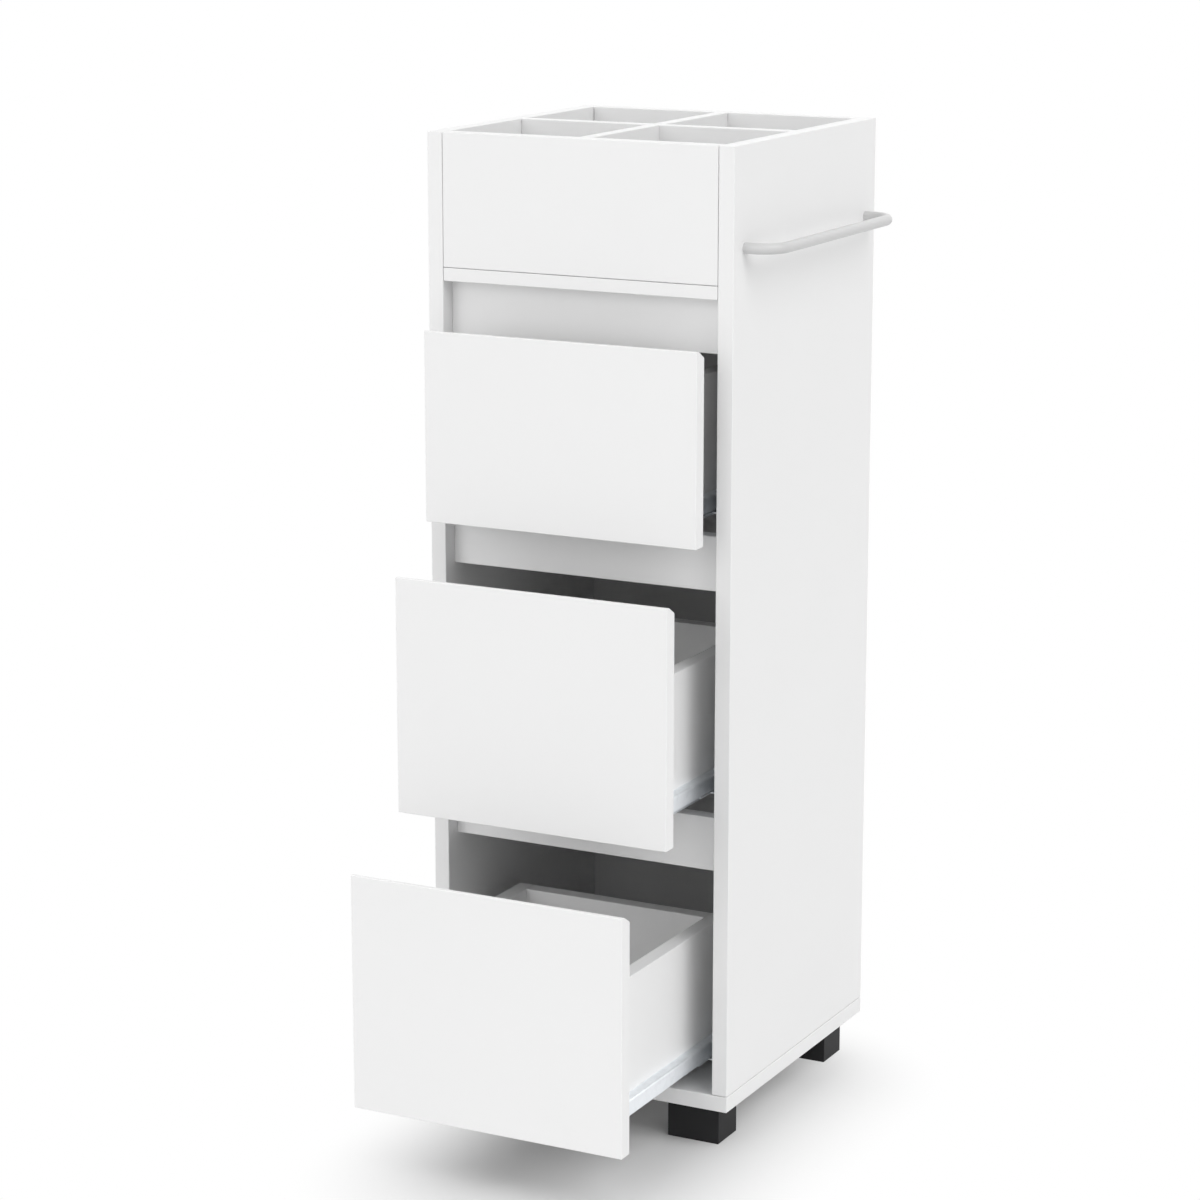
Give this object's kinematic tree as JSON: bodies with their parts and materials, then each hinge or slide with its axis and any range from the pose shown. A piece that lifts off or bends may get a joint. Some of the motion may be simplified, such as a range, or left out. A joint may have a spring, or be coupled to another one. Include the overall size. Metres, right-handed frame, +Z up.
{
  "type": "bathroom floor cabinet",
  "caption": "Slim white floor cabinet with an open divided tray on top, inset drawers below on metal roller runners, a side towel rail and black block feet.",
  "frame": {"origin": "on the floor, under the middle of the carcass", "axes": "+Z up, -Y towards the person who opens the drawers, +X towards the towel rail"},
  "size_m": [0.34, 0.4886, 0.92],
  "materials": {
    "white_board": "white melamine, satin",
    "white_hardboard": "white lacquered hardboard",
    "rail_metal": "light grey satin paint",
    "bolt_steel": "zinc plated",
    "runner_steel": "galvanised",
    "roller_nylon": "moulded nylon",
    "foot_plastic": "moulded black"
  },
  "bodies": {
    "carcass": {"left_side_panel": "white_board", "right_side_panel": "white_board", "base_panel": "white_board", "tray_front_panel": "white_board", "tray_floor": "white_board", "tray_back_panel": "white_board", "tray_long_divider": "white_board", "tray_cross_divider": "white_board", "upper_rail": "white_board", "middle_rail": "white_board", "lower_rail": "white_board", "back_panel": "white_hardboard", "towel_rail": "rail_metal", "towel_rail_bolts": "bolt_steel", "front_left_foot": "foot_plastic", "front_right_foot": "foot_plastic", "rear_left_foot": "foot_plastic", "rear_right_foot": "foot_plastic", "upper_left_cabinet_runner": "runner_steel", "upper_right_cabinet_runner": "runner_steel", "middle_left_cabinet_runner": "runner_steel", "middle_right_cabinet_runner": "runner_steel", "lower_left_cabinet_runner": "runner_steel", "lower_right_cabinet_runner": "runner_steel"},
    "upper_drawer": {"upper_drawer_front": "white_board", "upper_drawer_left_side": "white_board", "upper_drawer_right_side": "white_board", "upper_drawer_back": "white_board", "upper_drawer_bottom": "white_hardboard", "upper_drawer_left_runner": "runner_steel", "upper_drawer_right_runner": "runner_steel"},
    "upper_front_rollers": {"upper_front_rollers": "roller_nylon"},
    "upper_rear_rollers": {"upper_rear_rollers": "roller_nylon"},
    "middle_drawer": {"middle_drawer_front": "white_board", "middle_drawer_left_side": "white_board", "middle_drawer_right_side": "white_board", "middle_drawer_back": "white_board", "middle_drawer_bottom": "white_hardboard", "middle_drawer_left_runner": "runner_steel", "middle_drawer_right_runner": "runner_steel"},
    "middle_front_rollers": {"middle_front_rollers": "roller_nylon"},
    "middle_rear_rollers": {"middle_rear_rollers": "roller_nylon"},
    "lower_drawer": {"lower_drawer_front": "white_board", "lower_drawer_left_side": "white_board", "lower_drawer_right_side": "white_board", "lower_drawer_back": "white_board", "lower_drawer_bottom": "white_hardboard", "lower_drawer_left_runner": "runner_steel", "lower_drawer_right_runner": "runner_steel"},
    "lower_front_rollers": {"lower_front_rollers": "roller_nylon"},
    "lower_rear_rollers": {"lower_rear_rollers": "roller_nylon"}
  },
  "joints": [
    {"name": "upper_drawer_slide", "type": "slide", "parent": "carcass", "child": "upper_drawer", "axis": [0, -1, 0], "range_m": [-0.038, 0.152]},
    {"name": "upper_front_rollers_turn", "type": "hinge", "parent": "carcass", "child": "upper_front_rollers", "pos_m": [0, -0.1265, 0.5975], "axis": [1, 0, 0], "continuous": true},
    {"name": "upper_rear_rollers_turn", "type": "hinge", "parent": "upper_drawer", "child": "upper_rear_rollers", "pos_m": [0, 0.06, 0.5973], "axis": [1, 0, 0], "continuous": true},
    {"name": "middle_drawer_slide", "type": "slide", "parent": "carcass", "child": "middle_drawer", "axis": [0, -1, 0], "range_m": [-0.09405, 0.09595]},
    {"name": "middle_front_rollers_turn", "type": "hinge", "parent": "carcass", "child": "middle_front_rollers", "pos_m": [0, -0.1265, 0.3375], "axis": [1, 0, 0], "continuous": true},
    {"name": "middle_rear_rollers_turn", "type": "hinge", "parent": "middle_drawer", "child": "middle_rear_rollers", "pos_m": [0, 0.00395, 0.3373], "axis": [1, 0, 0], "continuous": true},
    {"name": "lower_drawer_slide", "type": "slide", "parent": "carcass", "child": "lower_drawer", "axis": [0, -1, 0], "range_m": [-0.1786, 0.0114]},
    {"name": "lower_front_rollers_turn", "type": "hinge", "parent": "carcass", "child": "lower_front_rollers", "pos_m": [0, -0.1265, 0.081], "axis": [1, 0, 0], "continuous": true},
    {"name": "lower_rear_rollers_turn", "type": "hinge", "parent": "lower_drawer", "child": "lower_rear_rollers", "pos_m": [0, -0.0806, 0.0808], "axis": [1, 0, 0], "continuous": true}
  ],
  "couplings": [
    {"joint": "upper_front_rollers_turn", "follows": "upper_drawer_slide", "rad_per_m": 142.86},
    {"joint": "upper_rear_rollers_turn", "follows": "upper_drawer_slide", "rad_per_m": 142.86},
    {"joint": "middle_front_rollers_turn", "follows": "middle_drawer_slide", "rad_per_m": 142.86},
    {"joint": "middle_rear_rollers_turn", "follows": "middle_drawer_slide", "rad_per_m": 142.86},
    {"joint": "lower_front_rollers_turn", "follows": "lower_drawer_slide", "rad_per_m": 142.86},
    {"joint": "lower_rear_rollers_turn", "follows": "lower_drawer_slide", "rad_per_m": 142.86}
  ]
}
